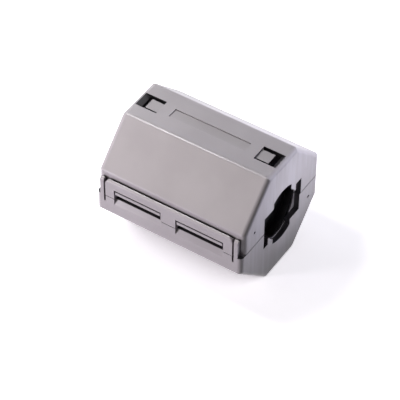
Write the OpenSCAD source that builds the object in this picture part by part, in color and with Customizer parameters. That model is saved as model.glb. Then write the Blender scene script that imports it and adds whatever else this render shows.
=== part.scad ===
// Clip-on ferrite bead: two ferrite half cores in a hinged octagonal snap case.
// The cable runs along X through the origin, the latch faces -Y and the hinge +Y.

/* [Case] */
// Length of the case along the cable
case_l = 40.4; // [34:0.1:60]
// Width across the two upright flats of the upper half
case_w = 32.5; // [30:0.1:42]
// Height from the bottom flat to the top flat
case_h = 33.1; // [30:0.1:42]
// Run of each sloped face as a share of the width
slope_share = 0.312; // [0.29:0.001:0.34]
// Thickness of the shell
wall_t = 1.5; // [1.2:0.1:2]
// Thickness of the end walls
end_wall_t = 1.4; // [1:0.1:2]
// Radius of the long ridges of the octagon
ridge_r = 0.9; // [0.4:0.1:1.2]
// Radius of the edges round the two end faces
end_edge_r = 1.2; // [0.5:0.1:1.3]
// Gap between the two halves at the parting plane
parting_gap = 0.2; // [0.1:0.01:0.3]

/* [Ferrite core] */
// Bore of the core
bore_d = 13.05; // [12.95:0.05:14]
// Air between the core and the upright shell walls
core_air = 1.8; // [1.2:0.1:2.4]
// Room kept at each end between the core and the end wall
chamber_l = 4.5; // [3.6:0.05:5]
// Gap between the ground faces of the two half cores
core_gap = 0.04; // [0.02:0.01:0.1]
// Gap between the core and the ribs that seat it
seat_gap = 0.05; // [0.02:0.01:0.15]
// Gap between the end faces of the core and their stops
stop_gap = 0.12; // [0.05:0.01:0.25]
// Thickness of each saddle rib
rib_t = 1.6; // [1:0.1:2.4]
// Place of each saddle rib as a share of half the core length
rib_share = 0.66; // [0.4:0.01:0.8]

/* [Cable opening] */
// Diameter of the round ends of the upright slot
slot_d = 15.5; // [14.8:0.1:17]
// Width of the upright slot
slot_w = 7.7; // [7:0.1:8.2]
// Width across the two side pockets
pocket_w = 15.7; // [15:0.1:17]
// Height of the side pockets
pocket_h = 10; // [9:0.1:11]
// How much further out the pocket of the upper half reaches on the hinge side
pocket_step = 0.5; // [0:0.1:0.8]
// How much smaller than the bore the circle is that the cable fingers leave free
finger_step = 0.35; // [0.1:0.05:0.4]
// Width of each cable finger
finger_w = 1.85; // [1.4:0.05:2.2]
// Distance of each finger from the edge of the upright slot
finger_in = 0.25; // [0:0.05:0.4]
// Height of the finger tips above the parting plane
finger_tip = 3.1; // [2.6:0.1:3.6]
// Thickness of the round collar behind the opening
collar_t = 0.5; // [0.4:0.1:1.2]
// Bore of that collar
collar_d = 14.8; // [14:0.1:15.4]
// How far the collar reaches past the corners of the pockets
collar_lap = 0.7; // [0.4:0.1:1.2]
// Diameter of the moulding dimples on the end faces
dimple_d = 0.8; // [0.4:0.1:1.2]
// Depth of the moulding dimples
dimple_depth = 0.25; // [0.1:0.05:0.5]
// Distance of the dimples from the cable axis, sideways
dimple_y = 12.1; // [11:0.1:12.6]
// Distance of the dimples from the parting plane
dimple_z = 4.35; // [3:0.05:5]

/* [Core tabs] */
// Plastic left between a tab window and the end face
window_margin = 0.9; // [0.6:0.05:1.2]
// Length of each tab window
window_l = 5.9; // [5.5:0.1:6.5]
// Width of each tab window
window_w = 4.6; // [4.4:0.05:5.6]
// Length of the ramp at the outer end of the window
ramp_l = 1.25; // [1.1:0.05:1.6]
// Depth of that ramp at its inner end
ramp_drop = 1; // [0.6:0.1:1.2]
// Width of the tab
tab_w = 3.2; // [2.8:0.1:3.6]
// Length of the free part of the tab
tab_l = 3.55; // [3.2:0.05:3.8]
// Depth of the tab face below the case
tab_drop = 0.4; // [0.2:0.05:0.6]
// Thickness of the hook under the tab
hook_t = 1.3; // [1:0.1:1.6]
// How far the hook overlaps the end face of the core
hook_reach = 1.3; // [0.8:0.1:2]

/* [Label panel] */
// Length of the sunk label panel
label_l = 20.8; // [14:0.1:21.4]
// Width of the sunk label panel
label_w = 2.9; // [2.5:0.05:6]
// Depth of the sunk label panel
label_depth = 0.25; // [0.1:0.05:0.5]

/* [Latch] */
// Thickness of the latch flap
flap_t = 0.95; // [0.8:0.05:1.2]
// Gap between the flap and the wall of the upper half
flap_gap = 0.3; // [0.15:0.01:0.4]
// Height from the top of the flap to the lower edge of the slope
flap_drop = 1.2; // [0.8:0.05:1.6]
// Radius of the two top corners of the flap
flap_corner_r = 1.3; // [0.8:0.1:2]
// Radius of the top front edge of the flap
flap_edge_r = 0.7; // [0.3:0.05:0.75]
// Depth of the bevel on the inner top edge of the flap
flap_bevel = 0.6; // [0.2:0.05:1]
// Width of the middle leg
mid_leg_w = 4.1; // [3:0.1:5]
// Width of each outer leg
side_leg_w = 2.45; // [2:0.05:3.2]
// Top of the flap windows as a share of the upright half height
window_top_share = 0.44; // [0.4:0.01:0.48]
// Foot of the sloped front below each flap window as a share of the upright half height
window_bottom_share = 0.29; // [0.24:0.01:0.34]
// How far that front leans in at its top
window_lean = 0.8; // [0.4:0.05:0.9]
// Height from the top of that front to the parting plane
window_drop = 0.5; // [0.3:0.05:0.7]
// Bottom of the side slits as a share of the upright half height
slit_share = 0.3; // [0.26:0.01:0.36]
// Height of the axis that the flap bends about
flap_axis_z = 0.15; // [0.1:0.05:0.3]
// Gap between the rounded leg ends and their seats
leg_gap = 0.08; // [0.06:0.01:0.14]
// Width of the slit between the flap and each corner post
slit_w = 0.45; // [0.25:0.05:0.6]
// Width of each corner post
post_w = 1; // [0.8:0.1:1.4]
// Distance of the corner posts from the end faces
post_margin = 1.15; // [0.6:0.05:1.4]
// Gap between each lug and the sides of its window
lug_gap = 0.3; // [0.2:0.05:0.5]
// Gap between each lug and the top of its window
lug_drop = 0.5; // [0.3:0.05:0.7]
// Height of the upright face of the lug
lug_face_h = 0.85; // [0.6:0.05:1.1]
// How far the face of each lug stands back from the face of the flap
lug_back = 0.1; // [0:0.05:0.3]

/* [Hinge] */
// Width of each hinge strap
strap_w = 10; // [6:0.5:11]
// Distance of each strap from the end face
strap_margin = 2.7; // [1.6:0.05:3]
// Thickness of the straps
strap_t = 0.35; // [0.25:0.05:0.45]
// Distance of the hinge axis from the back wall
hinge_out = 0.4; // [0.3:0.05:0.8]

/* [Hidden] */
$fn = 64;
overrun = 1;
half_l = case_l / 2;
half_w = case_w / 2;
half_h = case_h / 2;
slope_run = case_w * slope_share;
top_half = half_w - slope_run;
side_half = half_h - slope_run;
slope_off = (half_w + side_half) / sqrt(2);
front_y = half_w + flap_gap + flap_t;
span = case_w + case_h;
core_l = case_l - 2 * (end_wall_t + chamber_l);
core_r = min(half_w, half_h) - wall_t - core_air;
inner_l = case_l - 2 * end_wall_t;
window_out = half_l - window_margin;
window_in = window_out - window_l;
flap_half = half_l - post_margin - post_w - slit_w;
flap_top = side_half - flap_drop;
window_top = side_half * window_top_share;
window_bottom = -side_half * window_bottom_share;
slit_bottom = -side_half * slit_share;
flap_axis_y = half_w + flap_gap + flap_t / 2;
lug_top = window_top - lug_drop;
lug_low = lug_top - lug_face_h;
lug_in = mid_leg_w / 2 + lug_gap;
lug_far = flap_half - side_leg_w - lug_gap;
lug_out = front_y - half_w - lug_back;
lug_ramp_share = 0.9;
lug_foot = lug_low - lug_out * lug_ramp_share;
finger_d = bore_d - finger_step;
fuse = wall_t / 2;
strap_in_r = strap_t / 2;
strap_out_r = strap_t + strap_in_r;
hinge_y = half_w + hinge_out;
stop_x = core_l / 2 + stop_gap;
pocket_half = pocket_w / 2;
collar_r = norm([pocket_half + pocket_step, pocket_h / 2]) + collar_lap;
case_rgb = [0.64, 0.62, 0.64];
flap_rgb = [0.66, 0.64, 0.67];
core_rgb = [0.17, 0.17, 0.18];

// Extrudes a section drawn in Y and Z from x0 to x1
module along_x(x0, x1) {
    translate([x0, 0, 0])
        rotate([90, 0, 90])
            linear_extrude(x1 - x0)
                children();
}

// Does the same at both ends, mirrored about the middle
module both_ends() {
    children();
    mirror([1, 0, 0]) children();
}

// Points where the fillet of one corner meets its two sides
function unit(v) = v / norm(v);
function corner_turn(a, p, b) = acos(unit(a - p) * unit(b - p)) / 2;
function corner_feet(a, p, b, r) = [
    p + unit(a - p) * r / tan(corner_turn(a, p, b)),
    p + unit(b - p) * r / tan(corner_turn(a, p, b))
];
function corner_mid(a, p, b, r) =
    p + unit(unit(a - p) + unit(b - p)) * r / sin(corner_turn(a, p, b));

// A convex outline with every corner rounded
module rounded_outline(pts, r) {
    n = len(pts);
    polygon([for (i = [0 : n - 1]) each corner_feet(pts[(i + n - 1) % n], pts[i], pts[(i + 1) % n], r)]);
    for (i = [0 : n - 1])
        translate(corner_mid(pts[(i + n - 1) % n], pts[i], pts[(i + 1) % n], r))
            circle(r);
}

// The octagon section, moved in by inset on every side
function octagon(inset) = let (k = inset * (sqrt(2) - 1)) [
    [-half_w + inset, side_half - k],
    [-half_w + inset, -side_half + k],
    [-top_half + k, -half_h + inset],
    [top_half - k, -half_h + inset],
    [half_w - inset, -side_half + k],
    [half_w - inset, side_half - k],
    [top_half - k, half_h - inset],
    [-top_half + k, half_h - inset]
];

// The section of the lower half, turned over. Its front stands out to the flap's face
function lower_octagon() = [
    [front_y, -side_half],
    [front_y, side_half - front_y + half_w],
    [top_half, half_h],
    [-top_half, half_h],
    [-half_w, side_half],
    [-half_w, -side_half],
    [-top_half, -half_h],
    [top_half, -half_h]
];

// A rectangle with rounded corners
module rounded_rect(l, h, r) {
    square([l, h - 2 * r], center = true);
    square([l - 2 * r, h], center = true);
    for (x = [-1, 1], z = [-1, 1])
        translate([x * (l / 2 - r), z * (h / 2 - r)])
            circle(r);
}

// Extrudes a shape drawn in X and Z right across the part
module across_y() {
    rotate([90, 0, 0])
        linear_extrude(2 * span, center = true)
            children();
}

// A slab between two faces of the octagon, with rounded end edges
module slab(turn, low, high) {
    rotate([turn, 0, 0])
        translate([0, 0, (high + low) / 2])
            across_y()
                rounded_rect(case_l, high - low, end_edge_r);
}

// The solid outside shape of one half, before it is hollowed
module half_body(outline, back, front) {
    intersection() {
        along_x(-half_l, half_l) rounded_outline(outline, ridge_r);
        slab(0, -half_h, half_h);
        slab(90, back, front);
        slab(45, -slope_off, slope_off);
        slab(-45, -slope_off, slope_off);
        translate([-span, -span, parting_gap / 2]) cube([2 * span, 2 * span, span]);
    }
}

// The plus-shaped cable opening, with the pocket on the finger side reaching out by step
module cable_opening(step) {
    circle(d = finger_d);
    intersection() {
        circle(d = slot_d);
        square([slot_w, slot_d], center = true);
    }
    difference() {
        union() {
            square([pocket_w, pocket_h], center = true);
            square([pocket_half + step, pocket_h / 2]);
        }
        translate([slot_w / 2 + finger_in, finger_tip]) square([finger_w, pocket_h]);
    }
}

// Everything that both halves share, drawn as the upper half. The finger sits on the +Y side
module half_shell(step) {
    difference() {
        children();
        core_room();
        both_ends() {
            along_x(inner_l / 2, half_l + overrun) cable_opening(step);
            tab_window();
            translate([half_l - dimple_depth, -dimple_y, dimple_z])
                rotate([0, 90, 0]) cylinder(h = dimple_depth + overrun, d = dimple_d);
        }
    }
    intersection() {
        translate([-span, -span, parting_gap / 2]) cube([2 * span, 2 * span, span]);
        both_ends() saddle_rib();
    }
    both_ends() core_tab();
}

// The opening round a core tab, with a ramp at its outer end
module tab_window() {
    hole_out = window_out - ramp_l;
    translate([0, window_w / 2, 0])
        rotate([90, 0, 0])
            linear_extrude(window_w)
                polygon([
                    [window_in, half_h - wall_t - overrun],
                    [hole_out, half_h - wall_t - overrun],
                    [hole_out, half_h - ramp_drop],
                    [window_out, half_h],
                    [window_out, half_h + overrun],
                    [window_in, half_h + overrun]
                ]);
}

// A rib that seats the round core in the shell
module saddle_rib() {
    rib_x = core_l / 2 * rib_share;
    along_x(rib_x - rib_t / 2, rib_x + rib_t / 2)
        difference() {
            polygon(octagon(fuse));
            circle(core_r + seat_gap);
        }
}

// The room inside the shell, which leaves a round collar behind each cable opening
module core_room() {
    difference() {
        along_x(-inner_l / 2, inner_l / 2) polygon(octagon(wall_t));
        both_ends()
            along_x(inner_l / 2 - collar_t, inner_l / 2 + overrun)
                difference() {
                    circle(collar_r);
                    circle(d = collar_d);
                }
    }
}

// The springy tab in the flat wall, with the hook that holds the end of the core
module core_tab() {
    translate([window_in - fuse, -tab_w / 2, half_h - wall_t])
        cube([tab_l + fuse, tab_w, wall_t - tab_drop]);
    translate([stop_x, -tab_w / 2, core_r - hook_reach])
        cube([hook_t, tab_w, half_h - wall_t / 2 - tab_drop / 2 - core_r + hook_reach]);
}

// The side section of the flap and posts from a foot upwards, round at the top front and bevelled behind
module front_section(foot) {
    section_back = -front_y + flap_t;
    crest = -front_y + flap_edge_r;
    intersection() {
        union() {
            translate([-front_y, foot]) square([flap_t, flap_top - flap_edge_r - foot]);
            translate([crest, foot]) square([flap_t - flap_edge_r, flap_top - foot]);
            translate([crest, flap_top - flap_edge_r]) circle(flap_edge_r);
        }
        polygon([
            [-front_y, foot],
            [-front_y, flap_top],
            [crest, flap_top],
            [section_back, flap_top - flap_bevel],
            [section_back, foot]
        ]);
    }
}

// A corner post beside the flap
module corner_post() {
    post_in = flap_half + slit_w;
    intersection() {
        along_x(post_in, post_in + post_w) front_section(slit_bottom);
        slab(90, -half_w, front_y);
    }
}

// The seat that a leg of the flap bends in
module leg_seat(x0, x1) {
    along_x(x0 - leg_gap, x1 + leg_gap)
        translate([-flap_axis_y, flap_axis_z]) circle(flap_t / 2 + leg_gap);
}

// A block in the layer of the flap and behind it, between two places along X and two heights
module front_block(x0, x1, z0, z1, behind) {
    translate([x0, -front_y - overrun, z0]) cube([x1 - x0, overrun + flap_t + behind, z1 - z0]);
}

module upper_case() {
    color(case_rgb) {
        difference() {
            half_shell(pocket_step) half_body(octagon(0), -half_w, half_w);
            translate([-label_l / 2, -label_w / 2, half_h - label_depth])
                cube([label_l, label_w, label_depth + overrun]);
        }
        both_ends()
            along_x(lug_in, lug_far)
                polygon([
                    [-half_w + fuse, lug_top],
                    [-half_w - lug_out, lug_top],
                    [-half_w - lug_out, lug_low],
                    [-half_w, lug_foot],
                    [-half_w + fuse, lug_foot]
                ]);
    }
}

module lower_case() {
    color(case_rgb) {
        difference() {
            rotate([180, 0, 0])
                half_shell(0) half_body(lower_octagon(), -front_y, half_w);
            both_ends() {
                along_x(mid_leg_w / 2, flap_half - side_leg_w)
                    polygon([
                        [-front_y - overrun, window_bottom],
                        [-front_y, window_bottom],
                        [-front_y + window_lean, -window_drop],
                        [-half_w + fuse, -window_drop],
                        [-half_w + fuse, overrun],
                        [-front_y - overrun, overrun]
                    ]);
                front_block(flap_half, flap_half + slit_w, slit_bottom, overrun, 0);
                leg_seat(flap_half - side_leg_w, flap_half);
            }
            leg_seat(-mid_leg_w / 2, mid_leg_w / 2);
        }
        both_ends() corner_post();
    }
}

module half_core() {
    intersection() {
        along_x(-core_l / 2, core_l / 2)
            difference() {
                circle(core_r);
                circle(d = bore_d);
            }
        translate([-span, -span, core_gap / 2]) cube([2 * span, 2 * span, span]);
    }
}

module upper_core() {
    color(core_rgb) half_core();
}

module lower_core() {
    color(core_rgb) rotate([180, 0, 0]) half_core();
}

module latch_flap() {
    color(flap_rgb)
        difference() {
            intersection() {
                along_x(-flap_half, flap_half) {
                    front_section(flap_axis_z);
                    translate([-flap_axis_y, flap_axis_z]) circle(flap_t / 2);
                }
                across_y() rounded_rect(2 * flap_half, 2 * flap_top, flap_corner_r);
            }
            both_ends()
                front_block(mid_leg_w / 2, flap_half - side_leg_w, -overrun, window_top, overrun);
        }
}

// The loop of one living-hinge strap, closed round the hinge axis
module strap_section() {
    translate([hinge_y, 0])
        difference() {
            intersection() {
                circle(strap_out_r);
                translate([0, -strap_out_r]) square(2 * strap_out_r);
            }
            circle(strap_in_r);
        }
    translate([half_w, strap_in_r]) square([hinge_out, strap_t]);
    translate([half_w, -strap_out_r]) square([hinge_out, strap_t]);
}

module hinge_strap_left() {
    color(case_rgb)
        along_x(-half_l + strap_margin, -half_l + strap_margin + strap_w) strap_section();
}

module hinge_strap_right() {
    color(case_rgb)
        along_x(half_l - strap_margin - strap_w, half_l - strap_margin) strap_section();
}

upper_case();
lower_case();
upper_core();
lower_core();
latch_flap();
hinge_strap_left();
hinge_strap_right();
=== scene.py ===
import math

import bmesh
import bpy
from mathutils import Matrix, Vector


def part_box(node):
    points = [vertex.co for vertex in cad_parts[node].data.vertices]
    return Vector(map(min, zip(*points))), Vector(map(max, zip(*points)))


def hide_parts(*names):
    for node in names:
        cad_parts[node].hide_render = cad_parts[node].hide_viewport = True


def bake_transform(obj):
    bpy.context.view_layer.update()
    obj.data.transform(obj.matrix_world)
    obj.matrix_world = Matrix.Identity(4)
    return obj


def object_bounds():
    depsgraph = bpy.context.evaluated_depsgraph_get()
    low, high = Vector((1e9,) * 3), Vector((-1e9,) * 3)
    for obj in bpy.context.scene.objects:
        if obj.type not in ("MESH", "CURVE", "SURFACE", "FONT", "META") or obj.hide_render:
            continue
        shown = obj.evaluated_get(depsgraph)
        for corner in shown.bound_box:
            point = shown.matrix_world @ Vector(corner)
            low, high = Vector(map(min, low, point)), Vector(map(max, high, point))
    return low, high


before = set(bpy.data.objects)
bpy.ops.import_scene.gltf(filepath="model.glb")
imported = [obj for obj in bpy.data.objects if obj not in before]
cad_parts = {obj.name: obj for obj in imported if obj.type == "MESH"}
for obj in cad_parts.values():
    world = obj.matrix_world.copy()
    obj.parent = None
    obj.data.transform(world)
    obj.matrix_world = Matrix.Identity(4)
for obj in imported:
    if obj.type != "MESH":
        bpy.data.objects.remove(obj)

cad_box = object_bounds()

MM = 0.001
FLOOR_Z = cad_box[0].z

# Camera of the photograph, in the part's frame
CAM_AZIMUTH = 32.968
CAM_ELEVATION = 45.847
CAM_ROLL = 0.393
CAM_TARGET = Vector((-0.373, -3.349, -4.071)) * MM
CAM_DISTANCE = 494.98 * MM
CAM_LENS = 188.1
CAM_SENSOR = 36.0
CAM_CLIP = 0.01

# Hinge straps: the loops of thin plastic at the back
HINGE_Y = 16.65 * MM
STRAP_T = 0.35 * MM
STRAP_R = 0.35 * MM
STRAP_ROOT = 0.2 * MM
STRAP_EDGE = 0.1 * MM
STRAP_ARC_STEPS = 19
STRAP_EDGE_STEPS = 4

# Places on the plastic painted with shade (walls of the openings and windows, sills, ledges and the
# end seam): where they lie and how they face
OPENING_X = 18.2 * MM
OPENING_HALF = 8.6 * MM
END_X = 20.15 * MM
WINDOW_X = (13.35 * MM, 19.32 * MM)
WINDOW_HALF = 2.36 * MM
WINDOW_Z = 12 * MM
SILL_Y = (-16.75 * MM, -15.4 * MM)
SILL_Z = (-0.56 * MM, -0.44 * MM)
LEDGE_X = 18 * MM
LEDGE_Y = (-17.6 * MM, -16.2 * MM)
LEDGE_Z = (-0.13 * MM, -0.07 * MM)
SEAM_HALF = 0.2 * MM
SEAM_SHARE = 0.8
FACES_END = 0.8
FACES_ACROSS = 0.5
FACES_UP = 0.9

# Painted shade in the crevices of the plastic, darker where other surfaces stand close, left out on
# the rims where the halves meet
CREVICE = 1.2 * MM
CREVICE_SPREAD = (0.8, 0.2)
CREVICE_SHADE_SHARE = 0.7
OCCLUSION_SAMPLES = 8
RIM_Z = 0.13 * MM

# Detail of the plastic: noise scales per metre, the spread of values used, and strengths
CLOUD_SCALE = 90.0
CLOUD_SPREAD = (0.3, 0.7)
GRAIN_SCALE = 5200.0
GRAIN_STRENGTH = 0.12
GRAIN_HEIGHT = 0.02 * MM
STREAK_STRETCH = (300.0, 620.0, 45.0)
STREAK_SPREAD = (0.42, 0.66)
STREAK_SHARE = 0.7
STREAK_FACING = (0.8, 0.99)
SPECK_SCALE = 210.0
SPECK_EDGE = (0.045, 0.02)
SPECK_CHANCE = (0.86, 0.9)
SPECK_SHARE = 0.6
GLOSS_SCALE = 260.0
GLOSS_SPREAD = (0.25, 0.75)
GLOSS_ROUGHNESS = (0.285, 0.32)
EDGE_SOFTNESS = 0.12 * MM
EDGE_SAMPLES = 6

# Detail of the ferrite, in the same terms
CRYSTAL_SCALE = 7000.0
CRYSTAL_SPREAD = (0.35, 0.75)
CRYSTAL_STRENGTH = 0.5
CRYSTAL_HEIGHT = 0.03 * MM
FERRITE_CLOUD_SCALE = 300.0
FERRITE_CLOUD_SHARE = 0.4
JOINT_Z = (0.2 * MM, 0.05 * MM)
JOINT_FACING = (0.9, 0.99)
LINE_STRETCH = (60.0, 4200.0, 60.0)
LINE_SPREAD = (0.35, 0.65)
FERRITE_ROUGHNESS = (0.6, 0.32)

# Colours, linear
GREY_LIGHT = (0.400, 0.367, 0.388)
GREY_DARK = (0.367, 0.335, 0.355)
# near-black of painted shade in crevices, openings, windows, sills, ledges and on the end seam
GREY_PAINTED_SHADE = (0.030, 0.027, 0.032)
STREAK_LIGHT = (0.450, 0.420, 0.455)
DUST = (0.62, 0.58, 0.57)
FERRITE = (0.030, 0.030, 0.033)
FERRITE_LIGHT = (0.060, 0.059, 0.063)
FERRITE_GROUND = (0.075, 0.074, 0.078)

# Floor and room: as they are seen, and as they light the part
FLOOR_HALF = 1.5
FLOOR_WHITE = (0.93, 0.915, 0.95)
FLOOR_WHITE_LIGHT = (0.94, 0.93, 0.955)
FLOOR_DULL = (0.26, 0.24, 0.29)
FLOOR_CLOUD_SCALE = 12.0
FLOOR_LIFT = 0.78
FLOOR_TINT = (0.985, 0.96, 1.0)
# distance and spread of the painted shadow where the floor's glow fades near the part
FLOOR_SHADE = 30 * MM
FLOOR_SHADE_SPREAD = (0.09, 0.38)
ROOM_DIM = (0.02, 0.02, 0.023)
ROOM_WHITE = (1.0, 1.0, 1.0)

# Square lamps: name, direction from the part, distance, size, level, colour
SOFTBOXES = (
    ("key_left_high", (-0.40, -0.07, 0.91), 0.16, 0.035, 0.56, (1.0, 0.99, 0.98)),
    ("key_back_high", (-0.1, 0.5, 0.86), 0.30, 0.20, 0.11, (0.80, 0.87, 1.0)),
    ("side_left", (-0.72, 0.40, 0.55), 0.12, 0.06, 0.17, (0.92, 0.95, 1.0)),
    ("fill_front_left", (-0.38, -0.72, 0.58), 0.30, 0.12, 0.045, (1.0, 0.99, 0.40)),
    ("fill_front_low", (-0.64, -0.76, 0.05), 0.30, 0.06, 1.0, (0.97, 0.93, 1.0)),
)

# Spot lamps: name, direction from the target, target in mm, cone in degrees, level, colour
SPOTLIGHTS = (
    ("end_right_back", (0.57, 0.82, 0.06), (20, 11, 22), 12.5, 1.68, (0.84, 0.86, 1.0)),
    ("collar_right_front", (0.85, -0.45, 0.28), (18.8, 7.2, 1.5), 2.4, 2.4, (0.95, 0.95, 1.0)),
)
SPOT_DISTANCE = 0.30
SPOT_RADIUS = 0.012


class Nodes:
    """Short calls for building one node tree."""

    def __init__(self, tree):
        self.tree = tree
        tree.nodes.clear()

    def add(self, kind, **values):
        """A node with properties, and with inputs set from values or linked from sockets."""
        node = self.tree.nodes.new(kind)
        for key, value in values.items():
            if key in node.inputs:
                self.put(node.inputs[key], value)
            else:
                setattr(node, key, value)
        return node

    def put(self, socket, value):
        """Link a socket, or set its value; a colour gets full opacity."""
        if isinstance(value, bpy.types.NodeSocket):
            self.tree.links.new(value, socket)
        elif socket.type == "RGBA":
            socket.default_value = (*value, 1.0)
        else:
            socket.default_value = value

    def math(self, operation, a, b=0.0):
        node = self.add("ShaderNodeMath", operation=operation)
        self.put(node.inputs[0], a)
        self.put(node.inputs[1], b)
        return node.outputs[0]

    def size(self, value):
        return self.math("ABSOLUTE", value)

    def above(self, value, limit):
        return self.math("GREATER_THAN", value, limit)

    def below(self, value, limit):
        return self.math("LESS_THAN", value, limit)

    def between(self, value, limits):
        return self.every(self.above(value, limits[0]), self.below(value, limits[1]))

    def every(self, first, *others):
        """The product: 1 where all masks are 1."""
        for other in others:
            first = self.math("MULTIPLY", first, other)
        return first

    def either(self, first, *others):
        """The largest: 1 where any mask is 1."""
        for other in others:
            first = self.math("MAXIMUM", first, other)
        return first

    def ramp(self, value, spread, to=(0.0, 1.0)):
        """A smooth step over a spread of values, falling where the spread is given high to low."""
        node = self.add("ShaderNodeMapRange", interpolation_type="SMOOTHSTEP")
        for name, item in (("Value", value), ("From Min", spread[0]), ("From Max", spread[1]),
                           ("To Min", to[0]), ("To Max", to[1])):
            self.put(node.inputs[name], item)
        return node.outputs["Result"]

    def mix(self, share, a, b):
        node = self.add("ShaderNodeMix", data_type="RGBA")
        factor, first, second = node.inputs[0], node.inputs[6], node.inputs[7]
        self.put(factor, share)
        self.put(first, a)
        self.put(second, b)
        return node.outputs[2]

    def noise(self, vector, scale, detail=2.0, rough=0.5):
        node = self.add("ShaderNodeTexNoise", Vector=vector, Scale=scale, Detail=detail,
                        Roughness=rough)
        return node.outputs["Fac"]

    def stretch(self, vector, scale):
        node = self.add("ShaderNodeMapping")
        self.put(node.inputs["Vector"], vector)
        self.put(node.inputs["Scale"], scale)
        return node.outputs["Vector"]

    def axes(self, vector):
        return self.add("ShaderNodeSeparateXYZ", Vector=vector).outputs

    def openness(self, distance):
        """1 on open surfaces, less where others stand within a distance."""
        node = self.add("ShaderNodeAmbientOcclusion", Distance=distance, samples=OCCLUSION_SAMPLES)
        return node.outputs["AO"]

    def seen(self):
        """1 for the camera's rays and for mirrored ones, 0 for rays that carry light."""
        path = self.add("ShaderNodeLightPath").outputs
        return self.either(path["Is Camera Ray"], path["Is Glossy Ray"], path["Is Transmission Ray"])


def new_material(name):
    material = bpy.data.materials.new(name)
    material.use_nodes = True
    return material, Nodes(material.node_tree)


def finish_surface(n, colour, roughness, bump):
    shader = n.add("ShaderNodeBsdfPrincipled")
    n.put(shader.inputs["Base Color"], colour)
    n.put(shader.inputs["Roughness"], roughness)
    n.put(shader.inputs["Normal"], bump)
    out = n.add("ShaderNodeOutputMaterial")
    n.tree.links.new(shader.outputs[0], out.inputs["Surface"])


def painted_shade_places(n, place, facing):
    """1 on walls of the openings and windows, sills and ledges, and a share on the end seam: the
    places painted with shade.
    """
    at, way = n.axes(place), n.axes(facing)
    x, y, z = (n.size(at[axis]) for axis in "XYZ")
    along = n.size(way["X"])
    up = n.above(way["Z"], FACES_UP)
    opening = n.every(n.below(along, FACES_ACROSS), n.between(x, (OPENING_X, END_X)),
                      n.below(n.either(y, z), OPENING_HALF))
    window = n.every(n.below(n.size(way["Z"]), FACES_UP), n.between(x, WINDOW_X),
                     n.below(y, WINDOW_HALF), n.above(z, WINDOW_Z))
    sill = n.every(up, n.between(at["Y"], SILL_Y), n.between(at["Z"], SILL_Z))
    ledge = n.every(up, n.above(x, LEDGE_X), n.between(at["Y"], LEDGE_Y),
                    n.between(at["Z"], LEDGE_Z))
    seam = n.every(n.above(along, FACES_END), n.below(z, SEAM_HALF), n.above(x, OPENING_X),
                   SEAM_SHARE)
    return n.either(opening, window, sill, ledge, seam)


def moulded_plastic():
    """Satin grey plastic: soft mottling, fine grain, streaks on the end faces, a few dust specks, and
    painted shade in crevices, openings, windows and along the end seam.
    """
    material, n = new_material("moulded_grey")
    at = n.add("ShaderNodeTexCoord")
    place, facing = at.outputs["Object"], at.outputs["Normal"]

    cloud = n.noise(place, CLOUD_SCALE, detail=3.0)
    colour = n.mix(n.ramp(cloud, CLOUD_SPREAD), GREY_DARK, GREY_LIGHT)

    streaks = n.noise(n.stretch(place, STREAK_STRETCH), 1.0, rough=0.55)
    on_end = n.ramp(n.size(n.axes(facing)["X"]), STREAK_FACING)
    streak_share = n.every(n.ramp(streaks, STREAK_SPREAD), on_end, STREAK_SHARE)
    colour = n.mix(streak_share, colour, STREAK_LIGHT)

    specks = n.add("ShaderNodeTexVoronoi", Vector=place, Scale=SPECK_SCALE).outputs
    chance = n.add("ShaderNodeSeparateColor", Color=specks["Color"]).outputs["Red"]
    dust = n.every(n.ramp(specks["Distance"], SPECK_EDGE), n.ramp(chance, SPECK_CHANCE), SPECK_SHARE)
    colour = n.mix(dust, colour, DUST)

    off_rim = n.above(n.size(n.axes(place)["Z"]), RIM_Z)
    # Painted shade: the colour darkens in crevices where other surfaces stand close, except on the
    # rims where the halves meet
    crevice_shade = n.ramp(n.openness(CREVICE), CREVICE_SPREAD, (0.0, CREVICE_SHADE_SHARE))
    colour = n.mix(n.every(crevice_shade, off_rim), colour, GREY_PAINTED_SHADE)
    # Painted shade: near-black on the walls of the openings and windows, on sills and ledges, and
    # partly along the end seam
    colour = n.mix(painted_shade_places(n, place, facing), colour, GREY_PAINTED_SHADE)

    gloss = n.ramp(n.noise(place, GLOSS_SCALE, detail=3.0), GLOSS_SPREAD, GLOSS_ROUGHNESS)
    edges = n.add("ShaderNodeBevel", Radius=EDGE_SOFTNESS, samples=EDGE_SAMPLES)
    bump = n.add("ShaderNodeBump", Strength=GRAIN_STRENGTH, Distance=GRAIN_HEIGHT,
                 Height=n.noise(place, GRAIN_SCALE, rough=0.6), Normal=edges.outputs["Normal"])
    finish_surface(n, colour, gloss, bump.outputs["Normal"])
    return material


def sintered_ferrite():
    """Near-black ceramic with a fine crystal grain, smoother and paler on the ground joint faces."""
    material, n = new_material("sintered_ferrite")
    at = n.add("ShaderNodeTexCoord")
    place, facing = at.outputs["Object"], at.outputs["Normal"]

    crystals = n.noise(place, CRYSTAL_SCALE, detail=3.0, rough=0.7)
    cloud = n.noise(place, FERRITE_CLOUD_SCALE, detail=3.0)
    colour = n.mix(n.ramp(crystals, CRYSTAL_SPREAD), FERRITE, FERRITE_LIGHT)
    colour = n.mix(n.every(cloud, FERRITE_CLOUD_SHARE), colour, FERRITE_LIGHT)

    near_joint = n.ramp(n.size(n.axes(place)["Z"]), JOINT_Z)
    ground = n.every(near_joint, n.ramp(n.size(n.axes(facing)["Z"]), JOINT_FACING))
    lines = n.noise(n.stretch(place, LINE_STRETCH), 1.0)
    ground_colour = n.mix(n.ramp(lines, LINE_SPREAD), FERRITE_LIGHT, FERRITE_GROUND)
    colour = n.mix(ground, colour, ground_colour)
    roughness = n.ramp(ground, (0.0, 1.0), FERRITE_ROUGHNESS)
    bump = n.add("ShaderNodeBump", Strength=CRYSTAL_STRENGTH, Distance=CRYSTAL_HEIGHT,
                 Height=crystals)
    finish_surface(n, colour, roughness, bump.outputs["Normal"])
    return material


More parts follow.
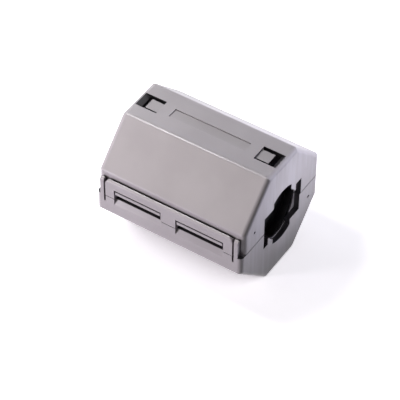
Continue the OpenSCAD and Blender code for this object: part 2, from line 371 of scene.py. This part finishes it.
def white_floor():
    """White paper that throws little light, with a glow where it is seen that fades near the part as
    a painted shadow.
    """
    material, n = new_material("white_floor")
    place = n.add("ShaderNodeTexCoord").outputs["Object"]
    seen = n.seen()
    cloud = n.ramp(n.noise(place, FLOOR_CLOUD_SCALE), CLOUD_SPREAD)
    white = n.mix(cloud, FLOOR_WHITE, FLOOR_WHITE_LIGHT)
    paper = n.add("ShaderNodeBsdfDiffuse", Color=n.mix(seen, FLOOR_DULL, white))
    # Painted shadow: the glow seen on the floor fades where the part stands close
    glow = n.ramp(n.openness(FLOOR_SHADE), FLOOR_SHADE_SPREAD, (0.0, FLOOR_LIFT))
    lift = n.add("ShaderNodeEmission", Color=FLOOR_TINT, Strength=n.every(seen, glow))
    both = n.add("ShaderNodeAddShader")
    n.put(both.inputs[0], paper.outputs[0])
    n.put(both.inputs[1], lift.outputs[0])
    out = n.add("ShaderNodeOutputMaterial")
    n.tree.links.new(both.outputs[0], out.inputs["Surface"])
    return material


def strap_profile():
    """Centre line of a strap in Y and Z, from its lower root round the hinge to its upper root."""
    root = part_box("hinge_strap_left")[0].y - STRAP_ROOT
    middle = (root + HINGE_Y) / 2
    line = [Vector((root, -STRAP_R)), Vector((middle, -STRAP_R))]
    for i in range(STRAP_ARC_STEPS + 1):
        a = math.pi * (i / STRAP_ARC_STEPS - 0.5)
        line.append(Vector((HINGE_Y + STRAP_R * math.cos(a), STRAP_R * math.sin(a))))
    return line + [Vector((middle, STRAP_R)), Vector((root, STRAP_R))]


def strap_stations(node):
    """Places across a strap as X and how much thinner each face is there, to round its sides."""
    lo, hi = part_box(node)
    stations = []
    for i in range(STRAP_EDGE_STEPS + 1):
        a = math.pi / 2 * i / STRAP_EDGE_STEPS
        stations.append((lo.x + STRAP_EDGE * (1 - math.cos(a)), STRAP_EDGE * (1 - math.sin(a))))
    return stations + [(hi.x - (x - lo.x), thin) for x, thin in reversed(stations)]


def make_strap(node, material):
    """A living-hinge strap as one mesh bent round the hinge, with its two side edges rounded."""
    line = strap_profile()
    stations = strap_stations(node)
    bm = bmesh.new()
    rows = []
    for i, p in enumerate(line):
        ahead = line[min(i + 1, len(line) - 1)] - line[max(i - 1, 0)]
        out = Vector((ahead.y, -ahead.x)).normalized()
        outer, inner = [], []
        for x, thin in stations:
            q = p + out * (STRAP_T / 2 - thin)
            r = p - out * (STRAP_T / 2 - thin)
            outer.append(bm.verts.new((x, q.x, q.y)))
            inner.append(bm.verts.new((x, r.x, r.y)))
        rows.append(outer + inner[::-1])
    count = len(rows[0])
    for a, b in zip(rows, rows[1:]):
        for j in range(count):
            k = (j + 1) % count
            bm.faces.new((a[j], a[k], b[k], b[j]))
    bm.faces.new(rows[0][::-1])
    bm.faces.new(rows[-1])
    bmesh.ops.recalc_face_normals(bm, faces=bm.faces)
    mesh = bpy.data.meshes.new(node + "_bend")
    bm.to_mesh(mesh)
    bm.free()
    for face in mesh.polygons:
        face.use_smooth = len(face.vertices) == 4
    strap = bpy.data.objects.new(node + "_bend", mesh)
    bpy.context.scene.collection.objects.link(strap)
    mesh.materials.append(material)
    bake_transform(strap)
    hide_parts(node)


def dress(node, material):
    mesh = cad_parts[node].data
    mesh.materials.clear()
    mesh.materials.append(material)


def make_camera():
    a, e = math.radians(CAM_AZIMUTH), math.radians(CAM_ELEVATION)
    back = Vector((math.sin(a) * math.cos(e), -math.cos(a) * math.cos(e), math.sin(e)))
    right = Vector((math.cos(a), math.sin(a), 0.0))
    right = Matrix.Rotation(math.radians(CAM_ROLL), 3, back) @ right
    up = back.cross(right)
    data = bpy.data.cameras.new("photo_camera")
    data.sensor_width = CAM_SENSOR
    data.lens = CAM_LENS
    data.clip_start = CAM_CLIP
    camera = bpy.data.objects.new("photo_camera", data)
    bpy.context.scene.collection.objects.link(camera)
    basis = Matrix((right, up, back)).transposed().to_4x4()
    camera.matrix_world = Matrix.Translation(CAM_TARGET + back * CAM_DISTANCE) @ basis
    bpy.context.scene.camera = camera


def add_lamp(data, place, way, colour):
    """A lamp at a place, shining against way, that the camera doesn't see."""
    data.color = colour
    lamp = bpy.data.objects.new(data.name, data)
    bpy.context.scene.collection.objects.link(lamp)
    lamp.location = place
    lamp.rotation_euler = way.to_track_quat("Z", "Y").to_euler()
    lamp.visible_camera = False


def softbox(name, direction, distance, size, level, colour):
    """A square lamp. At level 1 a surface facing it gets the light of a full white surround."""
    data = bpy.data.lights.new(name, "AREA")
    data.shape = "SQUARE"
    data.size = size
    data.energy = level * (math.pi * distance) ** 2
    way = Vector(direction).normalized()
    add_lamp(data, way * distance, way, colour)


def spotlight(name, direction, target, angle, level, colour):
    """A soft-edged spot with the same meaning of level, at its target."""
    data = bpy.data.lights.new(name, "SPOT")
    data.spot_size = math.radians(angle)
    data.spot_blend = 1.0
    data.shadow_soft_size = SPOT_RADIUS
    data.energy = level * (2 * math.pi * SPOT_DISTANCE) ** 2
    way = Vector(direction).normalized()
    add_lamp(data, Vector(target) * MM + way * SPOT_DISTANCE, way, colour)


def make_world():
    """A dim even room, and white where the camera or a mirrored ray looks past the floor."""
    world = bpy.data.worlds.new("room")
    bpy.context.scene.world = world
    world.use_nodes = True
    n = Nodes(world.node_tree)
    shader = n.add("ShaderNodeBackground", Color=n.mix(n.seen(), ROOM_DIM, ROOM_WHITE))
    out = n.add("ShaderNodeOutputWorld")
    n.tree.links.new(shader.outputs[0], out.inputs["Surface"])


def make_floor(material):
    mesh = bpy.data.meshes.new("floor")
    h = FLOOR_HALF
    mesh.from_pydata([(-h, -h, 0), (h, -h, 0), (h, h, 0), (-h, h, 0)], [], [(0, 1, 2, 3)])
    mesh.materials.append(material)
    floor = bpy.data.objects.new("floor", mesh)
    floor.location.z = FLOOR_Z
    bpy.context.scene.collection.objects.link(floor)


make_camera()
make_floor(white_floor())
make_world()
for lamp in SOFTBOXES:
    softbox(*lamp)
for lamp in SPOTLIGHTS:
    spotlight(*lamp)

plastic = moulded_plastic()
ferrite = sintered_ferrite()
for name in ("upper_case", "lower_case", "latch_flap"):
    dress(name, plastic)
for name in ("upper_core", "lower_core"):
    dress(name, ferrite)
for name in ("hinge_strap_left", "hinge_strap_right"):
    make_strap(name, plastic)

bpy.context.scene.view_settings.view_transform = "Standard"
